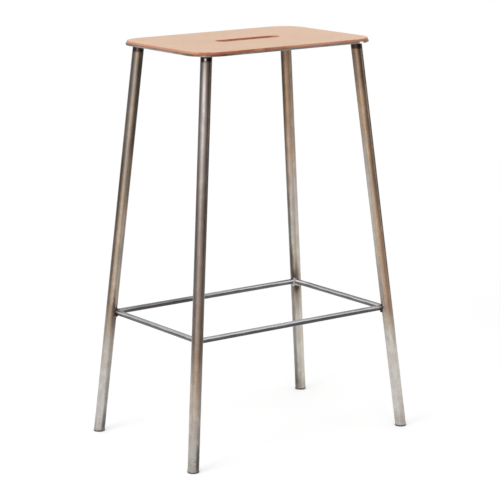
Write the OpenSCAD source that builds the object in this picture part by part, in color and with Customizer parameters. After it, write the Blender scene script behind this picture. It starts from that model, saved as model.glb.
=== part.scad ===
// Bar stool with a footrest: a leather-covered steel seat plate on four splayed tubular legs,
// which a ring of round bar ties together.
// Origin on the floor under the middle of the seat, +X along the seat, +Y to the rear, +Z up.

/* [Seat plate] */
// Height of the seat's top face above the floor
seat_height = 760; // [640:5:820]
// Length of the steel plate, end to end
plate_length = 405; // [370:5:440]
// Depth of the steel plate, front to back
plate_depth = 285; // [260:5:310]
// Thickness of the steel plate
plate_thickness = 3; // [2:0.5:6]
// Radius of the plate's four corners in plan
plate_corner = 50; // [30:1:90]
// Radius of the plate's broken edges
plate_edge = 0.5; // [0.2:0.1:0.9]

/* [Leather] */
// Thickness of the leather
leather_thickness = 5; // [3:0.5:8]
// How far the leather stops short of the plate's outline
leather_inset = 2; // [0.5:0.5:5]
// Radius of the leather's burnished upper edge
leather_edge = 1.5; // [0.5:0.25:2.5]
// Radius of the leather's lower edge
leather_lower_edge = 0.3; // [0.1:0.1:0.5]

/* [Hand slot] */
// Length of the slot through the plate, end to end
slot_length = 139; // [100:1:180]
// Width of the slot through the plate
slot_width = 25; // [20:1:40]
// How far the leather stops short of the plate round the slot
slot_reveal = 1; // [0.5:0.5:3]

/* [Legs] */
// Outside diameter of the leg tube
leg_diameter = 21.3; // [18:0.1:26]
// Wall of the leg tube
leg_wall = 2; // [1.2:0.1:3]
// Distance from the plate's short edge to a leg's axis, at the plate
leg_inset_x = 32; // [24:1:50]
// Distance from the plate's long edge to a leg's axis, at the plate
leg_inset_y = 31; // [24:1:50]
// Distance between the left and right leg axes at the floor
foot_spread_x = 490; // [420:5:540]
// Distance between the front and rear leg axes at the floor
foot_spread_y = 325; // [280:5:380]

/* [Footrest] */
// Height of the footrest bars' axes above the floor
footrest_height = 237.5; // [150:2.5:330]
// Diameter of the footrest bars
bar_diameter = 10.5; // [8:0.5:14]
// How far a bar's axis runs inboard of the leg axes it joins
bar_setback = 6; // [4:0.5:8]
// Gap left at a coped bar end, before welding
cope_gap = 0.1; // [0:0.05:0.3]

/* [Welds] */
// Leg length of the fillet weld between a leg and the plate
plate_weld = 2.5; // [1.5:0.25:4]
// How far a corner weld stands proud of the footrest bars
corner_weld = 3; // [2:0.25:4]

/* [Foot glides] */
// Thickness of the glide under the end of the tube
glide_base = 3; // [2:0.5:6]
// How far the glide stands out beyond the tube
glide_lip = 0.3; // [0:0.1:1.5]
// Radius of the glide's lower edge
glide_edge = 1; // [0.5:0.25:1.5]
// Length of the glide's stem inside the tube
stem_length = 20; // [12:1:40]
// Wall of the hollow stem
stem_wall = 1.4; // [1:0.1:2]
// Height of the stem's ring fins
fin_height = 1.3; // [0.6:0.1:1.6]
// Thickness of a ring fin
fin_thickness = 1; // [0.6:0.1:1.5]
// Distance from one ring fin to the next
fin_pitch = 4; // [2.5:0.5:8]
// Clearance between the fins and the tube's bore
fin_clearance = 0.1; // [0:0.05:0.3]

/* [Hidden] */
$fn = 96;

// Signs of the four corners along X and Y
LEFT = -1;
RIGHT = 1;
FRONT = -1;
REAR = 1;

// Reach of the blocks that trim the tubes and bars, beyond anything they trim
far = seat_height + plate_length;
// Depth by which a cutter runs past the faces it opens
past = 1;

plate_top = seat_height - leather_thickness;
plate_underside = plate_top - plate_thickness;

// Leg axis: from the floor up to the underside of the plate, for the rear right leg
leg_radius = leg_diameter / 2;
bore_radius = leg_radius - leg_wall;
foot_x = foot_spread_x / 2;
foot_y = foot_spread_y / 2;
run_x = foot_x - (plate_length / 2 - leg_inset_x);
run_y = foot_y - (plate_depth / 2 - leg_inset_y);
leg_length = norm([run_x, run_y, plate_underside]);
splay = atan2(norm([run_x, run_y]), plate_underside);
heading = atan2(run_y, run_x);

// Place of the leg's axis at a given height
function leg_axis(z) = [foot_x - run_x * z / plate_underside, foot_y - run_y * z / plate_underside, z];

// Corner of the footrest, where the axes of two bars meet
bar_radius = bar_diameter / 2;
footrest_corner = leg_axis(footrest_height) - [bar_setback, bar_setback, 0];

// Foot glide
fin_radius = bore_radius - fin_clearance;
stem_radius = fin_radius - fin_height;
glide_radius = leg_radius / cos(splay) + glide_lip;
fin_count = floor((stem_length - fin_thickness) / fin_pitch);

// ---- shared shapes ----

// Puts what is made for the rear right corner at another corner
module at_corner(side, end) {
  mirror([side < 0 ? 1 : 0, 0, 0])
    mirror([0, end < 0 ? 1 : 0, 0])
      children();
}

// Everything between two heights
module level_band(low, high) {
  translate([-far, -far, low])
    cube([2 * far, 2 * far, high - low]);
}

// Upright section of a slab, centred on its width, with rounded upper and lower edges
module slab_section(width, thickness, upper_edge, lower_edge) {
  union() {
    translate([-width / 2, lower_edge])
      square([width, thickness - upper_edge - lower_edge]);
    translate([upper_edge - width / 2, thickness / 2])
      square([width - 2 * upper_edge, thickness / 2]);
    translate([lower_edge - width / 2, 0])
      square([width - 2 * lower_edge, thickness / 2]);
    for (side = [-1, 1]) {
      translate([side * (width / 2 - upper_edge), thickness - upper_edge])
        circle(r = upper_edge);
      translate([side * (width / 2 - lower_edge), lower_edge])
        circle(r = lower_edge);
    }
  }
}

// Flat slab with rounded corners and rounded edges, standing on z = 0
module slab(length, depth, corner, thickness, upper_edge, lower_edge) {
  union() {
    rotate([90, 0, 90])
      linear_extrude(height = length - 2 * corner, center = true)
        slab_section(depth, thickness, upper_edge, lower_edge);
    rotate([90, 0, 0])
      linear_extrude(height = depth - 2 * corner, center = true)
        slab_section(length, thickness, upper_edge, lower_edge);
    for (x = [-1, 1])
      for (y = [-1, 1])
        translate([x * (length / 2 - corner), y * (depth / 2 - corner), 0])
          rotate_extrude()
            intersection() {
              slab_section(2 * corner, thickness, upper_edge, lower_edge);
              square([corner, thickness]);
            }
  }
}

// Upright cutter with two straight sides and full round ends
module oblong(length, width, height) {
  union() {
    translate([-(length - width) / 2, -width / 2, 0])
      cube([length - width, width, height]);
    for (side = [-1, 1])
      translate([side * (length - width) / 2, 0, 0])
        cylinder(d = width, h = height);
  }
}

// Ring of round section that follows an oblong of the given size
module oblong_ring(length, width, section_radius) {
  union() {
    for (side = [-1, 1]) {
      translate([0, side * width / 2, 0])
        rotate([0, 90, 0])
          cylinder(r = section_radius, h = length - width, center = true);
      translate([side * (length - width) / 2, 0, 0])
        rotate_extrude()
          translate([width / 2, 0])
            circle(r = section_radius);
    }
  }
}

// Cylinder on the rear right leg's axis, longer than the leg at both ends
module leg_bar(radius) {
  translate([foot_x, foot_y, 0])
    rotate([0, 0, heading])
      rotate([0, -splay, 0])
        translate([0, 0, -leg_diameter])
          cylinder(r = radius, h = leg_length + 2 * leg_diameter);
}

// ---- seat ----

// The leather seat, with its edges burnished round outside and in the slot
module leather_seat() {
  opening_length = slot_length + 2 * slot_reveal;
  opening_width = slot_width + 2 * slot_reveal;
  color("burlywood")
    translate([0, 0, plate_top])
      difference() {
        slab(plate_length - 2 * leather_inset, plate_depth - 2 * leather_inset,
             plate_corner - leather_inset, leather_thickness, leather_edge, leather_lower_edge);
        translate([0, 0, -past])
          oblong(opening_length, opening_width, leather_thickness + 2 * past);
        translate([0, 0, leather_thickness - leather_edge])
          difference() {
            oblong(opening_length + 2 * leather_edge, opening_width + 2 * leather_edge,
                   leather_edge + past);
            oblong_ring(opening_length + 2 * leather_edge, opening_width + 2 * leather_edge,
                        leather_edge);
          }
      }
}

// The steel plate that carries the leather and the legs
module seat_plate() {
  color("dimgray")
    translate([0, 0, plate_underside])
      difference() {
        slab(plate_length, plate_depth, plate_corner, plate_thickness, plate_edge, plate_edge);
        translate([0, 0, -past])
          oblong(slot_length, slot_width, plate_thickness + 2 * past);
      }
}

// ---- legs ----

// A tube cut level at both ends: on the glide below, and against the plate above
module leg(side, end) {
  color("rosybrown")
    at_corner(side, end)
      difference() {
        intersection() {
          leg_bar(leg_radius);
          level_band(glide_base, plate_underside);
        }
        leg_bar(bore_radius);
      }
}

// Fillet weld round the top of a leg, in the corner under the plate
module plate_weld(side, end) {
  color("peru")
    at_corner(side, end)
      difference() {
        intersection() {
          translate(leg_axis(plate_underside))
            rotate_extrude()
              translate([leg_radius, 0])
                circle(r = plate_weld);
          level_band(0, plate_underside);
        }
        leg_bar(leg_radius);
      }
}

// ---- footrest ----

// The part of the floor plan, seen from above, that belongs to a long bar rather than to a short one.
// Its slanting sides are the mitre lines of the two corners.
module long_bar_plan() {
  apex = footrest_corner.x - footrest_corner.y;
  polygon([[apex, 0], [apex + far, far], [-apex - far, far], [-apex, 0]]);
}

// The same for a short bar, on the right
module short_bar_plan() {
  apex = footrest_corner.x - footrest_corner.y;
  polygon([[apex, 0], [apex + far, -far], [apex + far, far]]);
}

// The rear bar, mitred at both ends but not yet coped to the legs
module mitred_long_bar() {
  intersection() {
    translate([0, footrest_corner.y, footrest_height])
      rotate([0, 90, 0])
        cylinder(r = bar_radius, h = 2 * (footrest_corner.x + bar_diameter), center = true);
    linear_extrude(height = seat_height)
      long_bar_plan();
  }
}

// The right bar, mitred at both ends but not yet coped to the legs
module mitred_short_bar() {
  intersection() {
    translate([footrest_corner.x, 0, footrest_height])
      rotate([90, 0, 0])
        cylinder(r = bar_radius, h = 2 * (footrest_corner.y + bar_diameter), center = true);
    linear_extrude(height = seat_height)
      short_bar_plan();
  }
}

// A long bar of the footrest, at the front or the rear, coped to its two legs
module footrest_long_bar(end) {
  color("slategray")
    difference() {
      at_corner(RIGHT, end)
        mitred_long_bar();
      for (side = [LEFT, RIGHT])
        at_corner(side, end)
          leg_bar(leg_radius + cope_gap);
    }
}

// A short bar of the footrest, at the left or the right, coped to its two legs
module footrest_short_bar(side) {
  color("slategray")
    difference() {
      at_corner(side, REAR)
        mitred_short_bar();
      for (end = [FRONT, REAR])
        at_corner(side, end)
          leg_bar(leg_radius + cope_gap);
    }
}

// Weld metal round the corner where two bars meet each other and a leg
module corner_weld(side, end) {
  weld_radius = bar_radius + corner_weld;
  color("tan")
    at_corner(side, end)
      difference() {
        translate(footrest_corner)
          sphere(r = weld_radius);
        leg_bar(leg_radius);
        translate(footrest_corner + [past, 0, 0])
          rotate([0, -90, 0])
            cylinder(r = bar_radius, h = 2 * weld_radius);
        translate(footrest_corner + [0, past, 0])
          rotate([90, 0, 0])
            cylinder(r = bar_radius, h = 2 * weld_radius);
      }
}

// ---- feet ----

// Moulded glide: a level base with a rounded lower edge, under a hollow finned stem on the leg's axis
module glide(side, end) {
  color("darkslategray")
    at_corner(side, end)
      difference() {
        union() {
          translate([leg_axis(glide_base).x, leg_axis(glide_base).y, 0])
            rotate_extrude()
              glide_base_section();
          intersection() {
            glide_stem();
            level_band(glide_base / 2, seat_height);
          }
        }
        intersection() {
          leg_bar(stem_radius - stem_wall);
          level_band(glide_base, seat_height);
        }
      }
}

// Half section of the glide's base
module glide_base_section() {
  union() {
    square([glide_radius - glide_edge, glide_base]);
    translate([0, glide_edge])
      square([glide_radius, glide_base - glide_edge]);
    translate([glide_radius - glide_edge, glide_edge])
      circle(r = glide_edge);
  }
}

// The stem and its ring fins, on the leg's axis
module glide_stem() {
  translate([foot_x, foot_y, 0])
    rotate([0, 0, heading])
      rotate([0, -splay, 0])
        union() {
          cylinder(r = stem_radius, h = glide_base + stem_length);
          for (fin = [1 : fin_count])
            translate([0, 0, glide_base + fin * fin_pitch])
              cylinder(r = fin_radius, h = fin_thickness);
        }
}

// ---- nodes ----

leather_seat();
seat_plate();
leg(LEFT, FRONT);  // leg_front_left
leg(RIGHT, FRONT);  // leg_front_right
leg(LEFT, REAR);  // leg_rear_left
leg(RIGHT, REAR);  // leg_rear_right
footrest_long_bar(FRONT);  // footrest_front
footrest_long_bar(REAR);  // footrest_rear
footrest_short_bar(LEFT);  // footrest_left
footrest_short_bar(RIGHT);  // footrest_right
plate_weld(LEFT, FRONT);  // plate_weld_front_left
plate_weld(RIGHT, FRONT);  // plate_weld_front_right
plate_weld(LEFT, REAR);  // plate_weld_rear_left
plate_weld(RIGHT, REAR);  // plate_weld_rear_right
corner_weld(LEFT, FRONT);  // corner_weld_front_left
corner_weld(RIGHT, FRONT);  // corner_weld_front_right
corner_weld(LEFT, REAR);  // corner_weld_rear_left
corner_weld(RIGHT, REAR);  // corner_weld_rear_right
glide(LEFT, FRONT);  // glide_front_left
glide(RIGHT, FRONT);  // glide_front_right
glide(LEFT, REAR);  // glide_rear_left
glide(RIGHT, REAR);  // glide_rear_right
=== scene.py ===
"""Looks of the bar stool: leather seat, raw steel frame with welds and heat tint, plastic glides."""
import math

import bmesh
import bpy
import numpy as np
from mathutils import Matrix, Vector, noise


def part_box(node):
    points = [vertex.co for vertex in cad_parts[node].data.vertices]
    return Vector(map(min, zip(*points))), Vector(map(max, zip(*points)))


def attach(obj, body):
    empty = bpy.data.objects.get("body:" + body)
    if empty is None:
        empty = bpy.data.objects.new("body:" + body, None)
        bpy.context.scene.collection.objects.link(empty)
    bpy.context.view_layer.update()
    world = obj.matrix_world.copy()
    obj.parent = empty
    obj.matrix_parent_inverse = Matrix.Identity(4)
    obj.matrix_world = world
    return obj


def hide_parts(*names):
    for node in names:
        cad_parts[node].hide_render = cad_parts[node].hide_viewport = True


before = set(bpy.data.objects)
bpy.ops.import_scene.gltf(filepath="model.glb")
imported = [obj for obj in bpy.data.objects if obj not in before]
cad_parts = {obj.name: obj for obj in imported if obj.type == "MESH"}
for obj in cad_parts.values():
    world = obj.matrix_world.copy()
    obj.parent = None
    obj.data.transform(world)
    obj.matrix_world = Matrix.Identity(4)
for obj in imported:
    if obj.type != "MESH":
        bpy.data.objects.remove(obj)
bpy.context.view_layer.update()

MM = 0.001
ROOT = "root"
CORNERS = {
    "front_left": (-1, -1),
    "front_right": (1, -1),
    "rear_left": (-1, 1),
    "rear_right": (1, 1),
}


# ---- frame sizes


def ring_centre(node, at_top):
    """Centre and half width of a leg's level end."""
    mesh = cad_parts[node].data
    co = np.array([v.co for v in mesh.vertices])
    level = co[:, 2].max() if at_top else co[:, 2].min()
    ring = co[np.abs(co[:, 2] - level) < 0.05 * MM]
    low, high = ring.min(0), ring.max(0)
    return Vector((low + high) / 2), (high[0] - low[0]) / 2


class Leg:
    """Axis of one leg, from its level lower end to its level upper end."""

    def __init__(self, corner):
        self.side, self.end = CORNERS[corner]
        self.foot, half = ring_centre("leg_" + corner, False)
        self.top, _ = ring_centre("leg_" + corner, True)
        self.axis = (self.top - self.foot).normalized()
        self.slope = Vector((self.axis.x, self.axis.y)) / self.axis.z
        # The level section is an ellipse: its long half axis lies along the lean
        lean = math.hypot(self.slope.x, self.slope.y)
        share = (self.slope.x / lean) ** 2
        stretch = math.sqrt(share * (1 + lean * lean) + 1 - share)
        self.radius = half / stretch

    def at(self, z):
        """The middle of the leg at a height."""
        return self.foot + self.axis * ((z - self.foot.z) / self.axis.z)

    def mirrored(self, place):
        """A place or direction at the rear right leg taken over to this one, or back again."""
        return Vector((place.x * self.side, place.y * self.end, place.z))


LEGS = {corner: Leg(corner) for corner in CORNERS}
seat_low, seat_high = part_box("leather_seat")
plate_low, plate_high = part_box("seat_plate")
rear_low, rear_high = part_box("footrest_rear")
right_low, right_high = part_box("footrest_right")
bar_radius = (rear_high.z - rear_low.z) / 2
footrest_z = (rear_high.z + rear_low.z) / 2
LEATHER_CORNER = 48 * MM
# Half length and half width of the hand slot in the leather
SLOT_X, SLOT_Y = 70.5 * MM, 13.5 * MM
# Radii of the leather's edges: round the slot, round the top and round the underside
SLOT_RIM, TOP_RIM, LOWER_RIM = 1.0 * MM, 1.5 * MM, 0.3 * MM
# In front of this, only the front bar is left
FRONT_BAR_ONLY = -0.14
# Where the axes of two bars meet, in the rear right corner
bar_corner = Vector(((right_low.x + right_high.x) / 2, (rear_low.y + rear_high.y) / 2, footrest_z))


# ---- camera and light

CAMERA_AZIMUTH = -35.62
CAMERA_ELEVATION = math.radians(12.27)
CAMERA_ROLL = math.radians(-0.4)
CAMERA_DISTANCE = 4.0508
CAMERA_TARGET = Vector((0.0022, 0.0, 0.3542))
CAMERA_LENS = 152.34


def linked(name, data):
    """A new object in the scene."""
    made = bpy.data.objects.new(name, data)
    bpy.context.scene.collection.objects.link(made)
    return made


def around(azimuth, radius, z):
    """Point on a circle round the stool; azimuth 0 is in front, 90 is on the right."""
    a = math.radians(azimuth)
    return Vector((radius * math.sin(a), -radius * math.cos(a), z))


def make_camera():
    """The camera at the photograph's viewing angle."""
    back = around(CAMERA_AZIMUTH, math.cos(CAMERA_ELEVATION), math.sin(CAMERA_ELEVATION))
    right = Vector((0, 0, 1)).cross(back).normalized()
    up = back.cross(right)
    x = right * math.cos(CAMERA_ROLL) + up * math.sin(CAMERA_ROLL)
    y = up * math.cos(CAMERA_ROLL) - right * math.sin(CAMERA_ROLL)
    data = bpy.data.cameras.new("camera")
    data.lens = CAMERA_LENS
    data.clip_end = 100.0
    camera = linked("camera", data)
    turn = Matrix((x, y, back)).transposed().to_4x4()
    camera.matrix_world = Matrix.Translation(CAMERA_TARGET + back * CAMERA_DISTANCE) @ turn
    bpy.context.scene.camera = camera


def area_light(name, position, target, size, power):
    """A softbox that shines on target and isn't itself in view."""
    data = bpy.data.lights.new(name, "AREA")
    data.shape = "RECTANGLE"
    data.size, data.size_y = size
    data.energy = power
    light = linked(name, data)
    light.location = position
    light.rotation_euler = (target - position).to_track_quat("-Z", "Y").to_euler()
    light.visible_camera = False
    light.visible_glossy = False


class Shader:
    """Short calls for building the node tree of a material or the world."""

    def __init__(self, owner):
        owner.use_nodes = True
        self.owner = owner
        self.tree = owner.node_tree
        self.tree.nodes.clear()

    def node(self, kind, **settings):
        made = self.tree.nodes.new("ShaderNode" + kind)
        for name, value in settings.items():
            setattr(made, name, value)
        return made

    def put(self, socket, value):
        """Links an output, or sets a constant on the socket itself."""
        if isinstance(value, bpy.types.NodeSocket):
            self.tree.links.new(value, socket)
        elif isinstance(value, tuple) and len(value) < len(socket.default_value):
            socket.default_value = (*value, 1)
        else:
            socket.default_value = value

    def fill(self, made, **inputs):
        """Fills a node's sockets by name, with _ for a space."""
        for name, value in inputs.items():
            self.put(made.inputs[name.replace("_", " ")], value)
        return made

    def feed(self, made, *values):
        """Fills a node's sockets in their order."""
        for socket, value in zip(made.inputs, values):
            self.put(socket, value)
        return made

    def output(self, surface, kind="OutputMaterial"):
        """Ends the tree, and gives back what it belongs to."""
        self.fill(self.node(kind), Surface=surface)
        return self.owner

    def principled(self, **inputs):
        return self.output(self.fill(self.node("BsdfPrincipled"), **inputs).outputs[0])

    def math(self, operation, a, b=0.0, c=0.0):
        return self.feed(self.node("Math", operation=operation), a, b, c).outputs[0]

    def plus(self, a, b):
        return self.math("ADD", a, b)

    def minus(self, a, b):
        return self.math("SUBTRACT", a, b)

    def times(self, a, b):
        return self.math("MULTIPLY", a, b)

    def in_mm(self, length):
        return self.times(length, 1 / MM)

    def swing(self, grey, size):
        """Noise turned into a shift of up to half the size either way."""
        return self.times(self.minus(grey, 0.5), size)

    def degrees_off(self, direction, towards):
        """How far one direction is from another, whichever way round is shorter."""
        return self.math("ABSOLUTE", self.math("WRAP", self.minus(direction, towards), -180.0, 180.0))

    def vector(self, operation, a, b=(0, 0, 0)):
        made = self.feed(self.node("VectorMath", operation=operation), a, b)
        return made.outputs["Value" if operation in ("LENGTH", "DISTANCE", "DOT_PRODUCT") else "Vector"]

    def mapped(self, value, low, high, to_low=0.0, to_high=1.0, linear=False):
        """value, from low..high to to_low..to_high, and flat outside."""
        if low > high:
            low, high, to_low, to_high = high, low, to_high, to_low
        made = self.node("MapRange", interpolation_type="LINEAR" if linear else "SMOOTHSTEP")
        return self.feed(made, value, low, high, to_low, to_high).outputs[0]

    def between(self, share, a, b):
        """Number a turning into number b."""
        return self.plus(self.times(share, b), self.times(self.minus(1.0, share), a))

    def mix(self, share, a, b, kind="MIX"):
        """Colour a turning into colour b."""
        made = self.node("Mix", data_type="RGBA", blend_type=kind)
        self.put(made.inputs[0], share)
        self.put(made.inputs[6], a)
        self.put(made.inputs[7], b)
        return made.outputs[2]

    def tinted(self, share, colour, tint):
        """The colour multiplied by the tint, as far as the share says."""
        return self.mix(share, colour, tint, "MULTIPLY")

    def ramp(self, value, stops):
        """Colour ramp with (place, colour) stops."""
        made = self.node("ValToRGB")
        elements = made.color_ramp.elements
        while len(elements) < len(stops):
            elements.new(0.5)
        for element, (place, colour) in zip(elements, stops):
            element.position = place
            element.color = (*colour, 1)
        self.put(made.inputs[0], value)
        return made.outputs[0]

    def noise(self, place, scale, detail=4, roughness=0.6, distortion=0.0, seed=None):
        """Grey noise, with one scale or one each for X, Y and Z; every seed has its own."""
        if isinstance(scale, tuple):
            place, scale = self.mapping(place, Scale=scale), 1.0
        made = self.node("TexNoise", noise_dimensions="3D" if seed is None else "4D")
        self.fill(made, Vector=place, Scale=scale, Detail=detail)
        self.fill(made, Roughness=roughness, Distortion=distortion)
        if seed is not None:
            self.fill(made, W=seed)
        return made.outputs[0]

    def noise_vector(self, place, scale):
        return self.fill(self.node("TexNoise"), Vector=place, Scale=scale).outputs["Color"]

    def joined(self, x, y, z):
        return self.feed(self.node("CombineXYZ"), x, y, z).outputs[0]

    def mapping(self, place, kind="POINT", **inputs):
        return self.fill(self.node("Mapping", vector_type=kind), Vector=place, **inputs).outputs[0]

    def bump(self, height, distance, strength, normal=None):
        made = self.fill(self.node("Bump"), Strength=strength, Distance=distance, Height=height)
        if normal is not None:
            self.fill(made, Normal=normal)
        return made.outputs[0]


def background_rays(s):
    """1 for rays that see the plain backdrop: the camera's, also mirrored or let through."""
    path = s.node("LightPath")
    seen = s.math("MAXIMUM", path.outputs["Is Camera Ray"], path.outputs["Is Glossy Ray"])
    return s.math("MAXIMUM", seen, path.outputs["Is Transmission Ray"])


WORLD_LEVEL = 0.55


def make_world():
    """White backdrop all round, and a softer level for the light that it gives."""
    world = bpy.data.worlds.new("studio")
    bpy.context.scene.world = world
    s = Shader(world)
    level = s.math("MAXIMUM", background_rays(s), WORLD_LEVEL)
    light = s.fill(s.node("Background"), Color=(1, 1, 1), Strength=level)
    s.output(light.outputs[0], "OutputWorld")


def new_material(name):
    """The Shader of an empty material, and the place that is being coloured."""
    s = Shader(bpy.data.materials.new(name))
    return s, s.node("TexCoord").outputs["Object"]


FLOOR_REACH = 30.0
PAPER = 0.8
# How far from the stool the lit paper begins to give way to plain white, and where it is all white
PAPER_FADES, PAPER_ENDS = 0.9, 3.2
# White added for the camera near the stool; half way out, a quarter of the second comes on top
FLOOR_LIFT = 0.38
FLOOR_MIDDLE_LIFT = 0.22


def make_floor():
    """Plain pale floor that shows white and keeps the stool's shadow."""
    mesh = bpy.data.meshes.new("floor")
    r = FLOOR_REACH
    mesh.from_pydata([(-r, -r, 0), (r, -r, 0), (r, r, 0), (-r, r, 0)], [], [(0, 1, 2, 3)])
    floor = linked("floor", mesh)
    s, place = new_material("floor_paper")
    far = s.mapped(s.vector("LENGTH", place), PAPER_FADES, PAPER_ENDS)
    # No paper shows where the added white is full, so the floor is never brighter than white
    paper = s.times(PAPER, s.minus(1.0, s.times(far, background_rays(s))))
    matt = s.fill(s.node("BsdfDiffuse"), Color=paper)
    lift = s.plus(FLOOR_LIFT, s.times(far, 1 - FLOOR_LIFT))
    half_way = s.times(far, s.minus(1.0, far))
    lift = s.plus(lift, s.times(half_way, FLOOR_MIDDLE_LIFT))
    glow = s.fill(s.node("Emission"), Color=(1, 1, 1), Strength=s.times(background_rays(s), lift))
    both = s.feed(s.node("AddShader"), matt.outputs[0], glow.outputs[0])
    mesh.materials.append(s.output(both.outputs[0]))


def make_lights():
    """Soft studio light, strongest from the front left."""
    middle = Vector((0, 0, 0.5))
    area_light("key", around(-80, 2.4, 1.9), middle, (1.6, 1.6), 24)
    area_light("fill", around(-15, 2.8, 1.7), middle, (2.0, 1.6), 12)
    area_light("overhead", Vector((0, 0.2, 2.7)), middle, (2.2, 2.2), 14)


SURROUND_RADIUS = 1.5
SURROUND_STEPS = 144
# The wall stands just off the floor. Its top is at this height on the sides, lower in front, higher behind
WALL_FOOT = 0.003
WALL_TOP, WALL_TOP_SLANT = 1.5, 0.5
CEILING = 2.4
CEILING_STEPS = 24
# How bright the wall is by azimuth in degrees, in three rows, and the heights where each row holds
ROW_HEIGHTS = (0.03, 0.35, 0.75)
LOW_ROW = [
    (-180, 0.9), (-144, 0.95), (-109, 1.0), (-80, 1.2), (-54, 1.3), (-28, 1.05), (-3, 0.95),
    (24, 0.8), (56, 0.8), (87, 1.0), (110, 0.9), (144, 0.6), (180, 0.9),
]
# The two upper rows are alike from the front right to the rear
RIGHT_HAND = [(50.5, 1.6), (59, 1.6), (61, 0.48), (84, 0.6), (105, 0.9), (134, 0.3), (158, 0.3)]
MIDDLE_ROW = [
    (-180, 0.6), (-144, 0.62), (-112, 0.55), (-84, 1.2), (-56, 2.0), (-28, 1.45), (-3, 0.72),
    (24, 0.45), (48, 0.42), *RIGHT_HAND, (180, 0.6),
]
HIGH_ROW = [
    (-180, 0.75), (-144, 0.85), (-112, 1.0), (-84, 2.6), (-57, 4.1), (-30, 1.9), (-3, 0.75),
    (24, 0.32), (48, 0.4), *RIGHT_HAND, (180, 0.75),
]
# Above the rows the wall turns to this level between these heights
UPPER_WALL, UPPER_WALL_FROM, UPPER_WALL_TO = 0.8, 1.03, 1.2
# How bright the ceiling is from behind the stool, 1 m back, to 1.2 m towards the camera
CEILING_BACK, CEILING_FRONT = -1.0, 1.2
CEILING_LEVELS = [(0.0, 0.4), (0.25, 0.25), (0.45, 0.45), (0.65, 1.45), (1.0, 1.3)]
# Ramps hold no more than 1, so levels go in as shares of this
BRIGHTEST = 5.0


def surround_mesh():
    """A round wall and the ceiling over it."""
    points, faces = [], []
    for i in range(SURROUND_STEPS):
        turn = 360 * i / SURROUND_STEPS
        top = WALL_TOP - WALL_TOP_SLANT * math.cos(math.radians(turn - CAMERA_AZIMUTH))
        points += [around(turn, SURROUND_RADIUS, WALL_FOOT), around(turn, SURROUND_RADIUS, top)]
        a, b = 2 * i, 2 * ((i + 1) % SURROUND_STEPS)
        faces.append((a, b, b + 1, a + 1))
    first = len(points)
    for i in range(CEILING_STEPS):
        points.append(around(360 * i / CEILING_STEPS, SURROUND_RADIUS, CEILING))
    faces.append(tuple(range(first, len(points))))
    mesh = bpy.data.meshes.new("surround")
    mesh.from_pydata(points, [], faces)
    return mesh


def surround_glow():
    """Softboxes and dark cards, by direction and height."""
    s, place = new_material("surround")

    def levels(share, stops):
        return s.ramp(share, [(place, (level / BRIGHTEST,) * 3) for place, level in stops])

    x, y, z = split(s, place)
    turn = s.math("DIVIDE", s.math("ARCTAN2", x, s.times(y, -1.0)), 2 * math.pi)
    turn = s.plus(turn, 0.5)
    rows = []
    for row in (LOW_ROW, MIDDLE_ROW, HIGH_ROW):
        rows.append(levels(turn, [((azimuth + 180) / 360, level) for azimuth, level in row]))
    low, middle, high = ROW_HEIGHTS
    level = s.mix(s.mapped(z, low, middle, linear=True), rows[0], rows[1])
    level = s.mix(s.mapped(z, middle, high, linear=True), level, rows[2])
    level = s.mix(s.mapped(z, UPPER_WALL_FROM, UPPER_WALL_TO), level, (UPPER_WALL / BRIGHTEST,) * 3)
    forward = s.vector("DOT_PRODUCT", place, around(CAMERA_AZIMUTH, 1.0, 0.0))
    ceiling = levels(s.mapped(forward, CEILING_BACK, CEILING_FRONT, linear=True), CEILING_LEVELS)
    level = s.mix(s.math("GREATER_THAN", z, CEILING - 10 * MM), level, ceiling)
    return s.output(s.fill(s.node("Emission"), Color=level, Strength=BRIGHTEST).outputs[0])


def surround():
    """The studio round the stool, which only its mirrored rays meet."""
    mesh = surround_mesh()
    mesh.materials.append(surround_glow())
    made = linked("surround", mesh)
    for kind in ("camera", "diffuse", "shadow", "transmission", "volume_scatter"):
        setattr(made, "visible_" + kind, False)


# ---- materials


def flat(s, place):
    """The place with its height left out."""
    return s.vector("MULTIPLY", place, (1, 1, 0))


def split(s, place):
    return tuple(s.fill(s.node("SeparateXYZ"), Vector=place).outputs)


def folded(s, place):
    """The place mirrored into the rear right quarter, and a seed that differs from corner to corner."""
    x, y, z = split(s, place)
    quarter = s.joined(s.math("ABSOLUTE", x), s.math("ABSOLUTE", y), z)
    seed = s.plus(s.times(s.math("SIGN", x), 3.1), s.times(s.math("SIGN", y), 7.7))
    return quarter, seed


def unfolded(s, place, local):
    """A place near the rear right leg, mirrored back to the leg it came from."""
    x, y, _ = split(s, place)
    return s.vector("MULTIPLY", local, s.joined(s.math("SIGN", x), s.math("SIGN", y), 1.0))


def by_corner(s, place, values):
    """One number or colour for each corner of the stool, in the order of CORNERS."""
    x, y, _ = split(s, place)
    right = s.math("GREATER_THAN", x, 0.0)
    rear = s.math("GREATER_THAN", y, 0.0)
    pick = s.between if isinstance(values[0], float) else s.mix
    return pick(rear, pick(right, *values[:2]), pick(right, *values[2:]))


def corner_tint(s, base, place, seed, reach, strength):
    """Burnt and straw-coloured steel round the welds of a footrest corner."""
    # The tint reaches furthest up and down the leg
    off = s.vector("MULTIPLY", s.vector("SUBTRACT", place, bar_corner), (1.9, 1.9, 0.5))
    distance = s.math("DIVIDE", s.in_mm(s.vector("LENGTH", off)), reach)
    distance = s.plus(distance, s.swing(s.noise(place, 75, 3, 0.6, seed=seed), 12))
    tint = s.ramp(s.mapped(distance, 6, 36, linear=True), [
        (0.0, (0.08, 0.075, 0.075)), (0.08, (0.13, 0.12, 0.12)), (0.17, (0.36, 0.32, 0.31)),
        (0.34, (0.66, 0.59, 0.54)), (0.6, (0.87, 0.81, 0.75)), (1.0, (1.0, 1.0, 1.0)),
    ])
    return s.tinted(strength, base, tint)


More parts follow.
